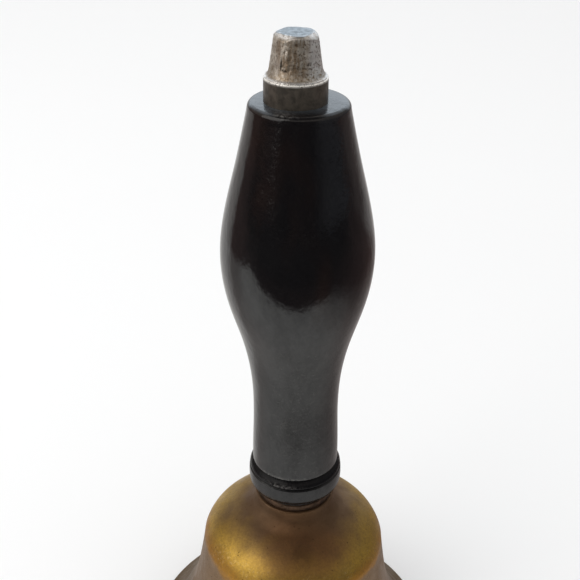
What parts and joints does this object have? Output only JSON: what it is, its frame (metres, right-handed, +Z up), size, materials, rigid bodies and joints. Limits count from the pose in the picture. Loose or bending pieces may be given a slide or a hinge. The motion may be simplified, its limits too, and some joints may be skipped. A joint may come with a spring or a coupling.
{
  "type": "handbell",
  "caption": "Hand-rung school bell: flared brass shell, turned black wooden handle with metal-capped end, and a swinging clapper on a swivelling stirrup.",
  "frame": {"origin": "centre of the circular mouth, in the plane of the lip that the bell stands on", "axes": "+Z up the bell's axis from the mouth to the handle; +X to the right and -Y towards a viewer facing the bell; the handle leans one degree towards -X"},
  "size_m": [0.0996, 0.0996, 0.2206],
  "materials": {
    "bell_brass": "aged, mottled golden brown patina with a soft polish",
    "washer_brass": "tarnished",
    "lacquered_wood": "glossy black lacquer over turned hardwood",
    "ferrule_steel": "dull grey-brown with a bright worn rim",
    "white_metal": null,
    "dark_steel": "oiled mild steel, darkened",
    "clapper_iron": "forged and cast iron, blackened, worn at the striking belt"
  },
  "bodies": {
    "bell": {"bell_shell": "bell_brass", "seat_washer": "washer_brass", "handle_grip": "lacquered_wood", "top_ferrule": "ferrule_steel", "finial_cap": "white_metal", "tang_burr": "dark_steel", "tang_rod": "dark_steel", "crown_washer": "dark_steel", "crown_nut": "dark_steel"},
    "swivel": {"clapper_stirrup": "clapper_iron", "clapper_pin": "dark_steel", "pin_burr": "dark_steel"},
    "clapper": {"clapper_stem": "clapper_iron", "clapper_ball": "clapper_iron", "ball_burr": "dark_steel"}
  },
  "joints": [
    {"name": "stirrup_swivel", "type": "hinge", "parent": "bell", "child": "swivel", "pos_m": [0, 0, 0.0517], "axis": [0, 0, 1], "continuous": true},
    {"name": "clapper_swing", "type": "hinge", "parent": "swivel", "child": "clapper", "pos_m": [0, 0, 0.044], "axis": [0, 1, 0], "range_deg": [-46, 46]}
  ]
}
